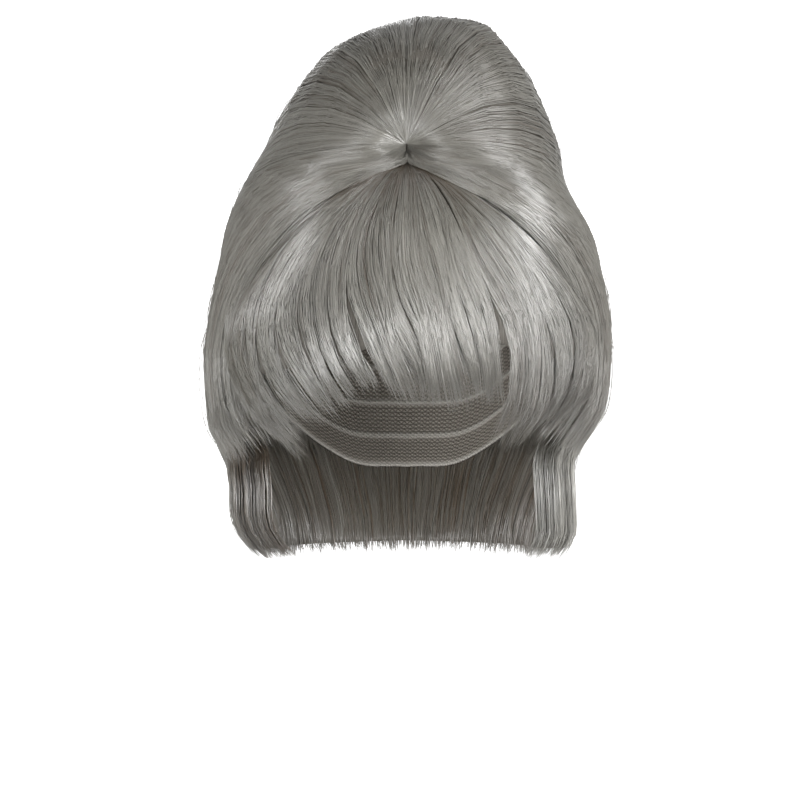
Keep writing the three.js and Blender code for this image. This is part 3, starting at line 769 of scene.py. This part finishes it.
for name, rows, from_edge, seed, reach, bend, end in (
        ("fringe_right", FRINGE_RIGHT, lambda across: across, 51, (-0.17, 1.0), 0.28, 1.05),
        ("fringe_middle", FRINGE_MIDDLE, np.ones_like, 61, (0.0, 1.0), 0.32, 1.07),
        ("fringe_left", FRINGE_LEFT, lambda across: 1 - across, 71, (0.0, 1.15), 0.28, 1.07)):
    spot = fringe_spot(rows, from_edge, seed)
    body = filling(f"{name}_filling", spot, rows=30, columns=26,
                   first=0.09, last=0.86, depth=0.9, thickness=fringe_thickness)
    dress(body, name, mat.material)
    # The fringe's strands darken along their first third, painted shade under the sweeps.
    hair = strands(f"{name}_strands", spot, FRINGE_LOCKS, FRINGE_LINES, [
        {"number": 700, "across": reach, "root": 0.0, "shade": 0.38, "start": (0.05, 0.09),
         "stop": (end - 0.08, end), "depth": (0.0, 0.9), "width": 0.38, "gather": 0.34,
         "ragged": 0.05, "bend": bend, "own": 0.2, "taper": 0.22, "tone_and_shading": 0.5,
         "part": 0.05},
        {"number": 300, "across": reach, "root": 0.0, "shade": 0.38, "start": (0.2, 0.5),
         "stop": (end - 0.09, end), "depth": (0.0, 0.8), "width": 0.38, "gather": 0.34,
         "dive": 0.9, "ragged": 0.05, "bend": bend, "own": 0.2, "taper": 0.25, "tone_and_shading": 0.5,
         "part": 0.05},
        {"number": 240, "across": reach, "root": 0.0, "start": (0.4, 0.65),
         "stop": (end - 0.1, end - 0.01), "depth": (0.8, 3.2), "width": 0.46, "sink": 1.0,
         "gather": 0.1, "tone_and_shading": 0.5, "bend": bend, "taper": 0.25, "part": 0.05},
        {"number": 12, "across": reach, "start": (0.1, 0.5), "stop": (0.9, 1.03),
         "depth": (0.0, 0.5), "width": 0.34, "dive": 2.0, "lift": 2.0, "own": 2.0,
         "bend": bend, "loose": 3.0},
    ], points=12, seed=seed + 2)
    dress(hair, name, fibre.material)

# Nape
#
# Longer hair hangs from the cap's lower edge against the neck: a curtain at the back and a
# lock behind each ear, whose ends are thinned and turned a little inwards.

NAPE_FRONT, NAPE_SPLIT = 86.0, 130.0  # turns at which the locks begin and the back begins
NAPE_TOP = 12.0  # how far the hair starts above the hem
NAPE_BILLOW = 4.5  # degrees that a lock's front edge billows towards the face
INNER_TOP = 8.0  # how far the strands next to the neck start above the side hem
LOCK_TURN, LINE_TURN = 7, 1.1  # degrees that a broad and a fine lock take


def level_reach(inside, turn, z):
    """How far a shape reaches level from the head's upright middle line, at a turn and height."""
    d = heading(turn, np.zeros_like(turn))
    origin = np.stack([np.zeros_like(z), np.full_like(z, CENTRE[1]), z], -1)
    return reach_of(inside, origin, d), d


def nape_spot(from_turn, to_turn, billow, lock_count, line_count, seed):
    """The points of a part of the nape. Across is the turn round the neck, and the hair hangs
    down to its ends from a little above the hem, where it lies under the longer hair of the
    crown. Halfway down, a lock billows towards the face by half a sine wave that fades out
    across it. Depth is level, towards the neck."""

    def spot(across, share, depth):
        turn = from_turn + (to_turn - from_turn) * across
        turn = turn + billow * (1 - across) * np.sin(math.pi * np.clip(share, 0, 1))
        hem = heading(turn, hem_lift(np.where(turn > 180, 360 - turn, turn)) - 0.6)
        top = CENTRE[2] + hem[..., 2] * reach_of(inside_hair, CENTRE, hem)
        z = top + NAPE_TOP + (-NAPE_DROP - top - NAPE_TOP) * share
        reach, d = level_reach(inside_hair, turn, z)
        out = (reach - 0.5 - 4.0 * rise(z, top - 8, top + 8)
               - relief(across, share, (lock_count, 0.7), (line_count, 0.2), seed) - depth)
        return np.stack([d[..., 0] * out, CENTRE[1] + d[..., 1] * out, z], -1), d

    return spot


def inner_spot(from_turn, to_turn):
    """The side of the nape that lies against the neck, from the top to the ends. Depth is
    level as before, so a strand of less depth lies further from the neck."""

    def spot(across, share, depth):
        turn = from_turn + (to_turn - from_turn) * across
        z = -SIDE_DROP + INNER_TOP + (SIDE_DROP - INNER_TOP - NAPE_DROP) * share
        reach, d = level_reach(inside_head, turn, z)
        out = reach + CAP_WALL + SEAT_GAP - depth - 0.3
        return np.stack([d[..., 0] * out, CENTRE[1] + d[..., 1] * out, z], -1), -d

    return spot


def nape_filling(name, spot, from_turn, to_turn, rows, columns, last):
    """The inner body of a part of the nape, from just off the neck to under the strands."""
    share, across = np.broadcast_arrays(np.linspace(0.02, last, rows)[:, None],
                                        np.linspace(0.01, 0.99, columns)[None, :])
    outer, d = spot(across, share, 1.6 + 5.0 * rise(share, 0.5, 1.0))
    reach, _ = level_reach(inside_head, from_turn + (to_turn - from_turn) * across, outer[..., 2])
    reach = reach + CAP_WALL + SEAT_GAP
    inner = np.stack([d[..., 0] * reach, CENTRE[1] + d[..., 1] * reach, outer[..., 2]], -1)
    return closed_block(name, outer, inner, np.stack([across, share], -1))


# The lock on the wearer's left has a light tone, painted light, and the one on the right a dark
# tone, painted shade; their outer strands start darker, painted shade under the hair above.
for name, from_turn, to_turn, billow, seed, tone_and_shading in (
        ("nape_lock_left", NAPE_FRONT, NAPE_SPLIT, -NAPE_BILLOW, 81, 0.92),
        ("nape_back", NAPE_SPLIT, 360 - NAPE_SPLIT, 0.0, 91, 0.52),
        ("nape_lock_right", 360 - NAPE_FRONT, 360 - NAPE_SPLIT, NAPE_BILLOW, 101, 0.26)):
    middle = name == "nape_back"
    width = abs(to_turn - from_turn)
    lock_count, line_count = int(width / LOCK_TURN), int(width / LINE_TURN)
    spot = nape_spot(from_turn, to_turn, billow, lock_count, line_count, seed)
    body = nape_filling(f"{name}_filling", spot, from_turn, to_turn, rows=22,
                        columns=56 if middle else 26, last=0.9)
    dress(body, name, mat.material)
    hair = strands(f"{name}_strands", spot, lock_count, line_count, [
        {"number": 800 if middle else 380, "across": (-0.004, 1.004), "start": (0.0, 0.12),
         "stop": (0.92, 1.0), "depth": (-0.1, 1.2), "width": 0.46, "ragged": 0.05,
         "curl": 3.5, "sway": 0.3, "tone_and_shading": tone_and_shading, "root": 0.0, "shade": 0.12},
        {"number": 350 if middle else 190, "across": (0.0, 1.0), "start": (0.0, 0.3),
         "stop": (0.88, 0.99), "depth": (1.5, 13.0), "width": 0.46, "sink": 1.0,
         "tone_and_shading": 0.44, "deep_shade": 0.015, "sway": 0.4, "root": 0.0},
    ] + ([] if middle else [
        {"number": 250, "across": (-0.04, 0.06), "start": (0.0, 0.2), "stop": (0.88, 1.0),
         "depth": (0.0, 18.0), "width": 0.46, "sink": 1.0, "gather": 0.0, "deep_shade": 0.015,
         "sway": 0.0, "own": 0.5, "tone_and_shading": tone_and_shading, "root": 0.0, "shade": 0.12},
        {"number": 150, "across": (-0.14, 0.2), "start": (-0.3, -0.05), "stop": (0.6, 0.95),
         "depth": (-1.0, 9.0), "width": 0.5, "sink": 1.0, "gather": 0.0, "deep_shade": 0.01,
         "sway": 0.0, "own": 0.5, "tone_and_shading": tone_and_shading, "root": 0.0, "shade": 0.12},
    ]), points=9, seed=seed + 2)
    dress(hair, name, fibre.material)
    lining = strands(f"{name}_inner_strands", inner_spot(from_turn, to_turn),
                     lock_count, line_count, [
        {"number": 300 if middle else 130, "across": (0.0, 1.0), "start": (0.0, 0.1),
         "stop": (0.9, 1.0), "depth": (-0.8, 0.2), "width": 0.6, "sink": 1.0, "tone_and_shading": 0.25,
         "sway": 0.4},
    ], points=9, seed=seed + 4)
    dress(lining, name, fibre.material)

# Studio
#
# A white paper sweep is the plain floor and backdrop; it glows on the wall behind the wig, as
# painted light. Soft lamps light the wig from in front, more from the wearer's left, with weaker
# ones above and behind. The camera looks level from straight in front.

PAPER_WIDTH, FLOOR_Z, FLOOR_FRONT = 6.0, -0.62, -3.0
WALL_Y, WALL_TOP, BEND = 2.6, 2.4, 0.8
bend = np.linspace(0, np.pi / 2, 14)
profile = np.concatenate([
    [[FLOOR_FRONT, FLOOR_Z]],
    np.stack([WALL_Y - BEND + BEND * np.sin(bend), FLOOR_Z + BEND - BEND * np.cos(bend)], -1),
    [[WALL_Y, WALL_TOP]],
])
sheet = np.stack([np.broadcast_to(np.array([-1, 1]) * PAPER_WIDTH / 2, (len(profile), 2)),
                  np.broadcast_to(profile[:, :1], (len(profile), 2)),
                  np.broadcast_to(profile[:, 1:], (len(profile), 2))], -1)
backdrop = make_mesh("studio_sweep", sheet.reshape(-1, 3) * 1000, grid_faces(len(profile), 2))
paper = Look("white_paper", Roughness=0.9, Emission_Strength=1.0)
object_place = paper.node("ShaderNodeTexCoord", {}, {}, "Object")
aside, behind, upwards = (
    paper.node("ShaderNodeSeparateXYZ", {}, {0: object_place}, k) for k in range(3))
# Painted light: the paper glows, most on the wall behind the wig, less towards the front, the
# sides and the top, and faintly everywhere.
glow = (behind * 1.5 - 1.4 - aside * aside * 1.1 - upwards * upwards * 1.1).clip()
grain = paper.node("ShaderNodeTexNoise", {}, {"Vector": object_place, "Scale": 3.0})
backdrop.data.materials.append(paper.finish(
    Base_Color=paper.mix(grain, (0.78, 0.78, 0.78, 1), (0.82, 0.82, 0.82, 1)),
    Emission_Color=paper.mix(glow, (0.12, 0.12, 0.12, 1), (0.95, 0.95, 0.95, 1))))

world = bpy.data.worlds.new("studio")
world.use_nodes = True
world.node_tree.nodes["Background"].inputs["Color"].default_value = (1.0, 1.0, 1.0, 1)
world.node_tree.nodes["Background"].inputs["Strength"].default_value = 0.24
bpy.context.scene.world = world


def lamp(name, place, aim, size, power):
    """A square soft lamp at a place in metres, turned towards a point."""
    light = bpy.data.lights.new(name, "AREA")
    light.size, light.energy = size, power
    lamp_object = bpy.data.objects.new(name, light)
    bpy.context.scene.collection.objects.link(lamp_object)
    lamp_object.location = place
    away = np.array(place) - np.array(aim)
    yaw = math.atan2(away[0], -away[1])
    tilt = math.atan2(math.hypot(away[0], away[1]), away[2])
    lamp_object.rotation_euler = (tilt, 0, yaw)


lamp("front_lamp", (-0.4, -1.9, -0.15), (0, 0, -0.08), 0.5, 11)
lamp("key_lamp", (1.45, -1.3, -0.05), (0, 0, -0.08), 0.6, 19.5)
lamp("fill_lamp", (-1.0, -1.6, -0.15), (0, 0, -0.08), 0.7, 20)
lamp("right_lamp", (1.5, -0.7, 0.6), (0, 0, -0.02), 0.7, 16)
lamp("back_lamp", (-0.3, 1.9, 0.3), (0, 0, -0.02), 0.9, 9)
lamp("top_lamp", (0.0, 0.7, 1.5), (0, 0, 0.0), 1.0, 1.5)

CAMERA_AWAY, CAMERA_HEIGHT = 1.5, -0.1062  # metres from the origin
camera = bpy.data.cameras.new("camera")
camera.sensor_width, camera.lens = 36.0, 147.8
camera.clip_start, camera.clip_end = 0.1, 30.0
camera_object = bpy.data.objects.new("camera", camera)
bpy.context.scene.collection.objects.link(camera_object)
camera_object.location = (0.0, -CAMERA_AWAY, CAMERA_HEIGHT)
camera_object.rotation_euler = (math.pi / 2, 0, 0)
bpy.context.scene.camera = camera_object
bpy.context.scene.view_settings.view_transform = "Standard"
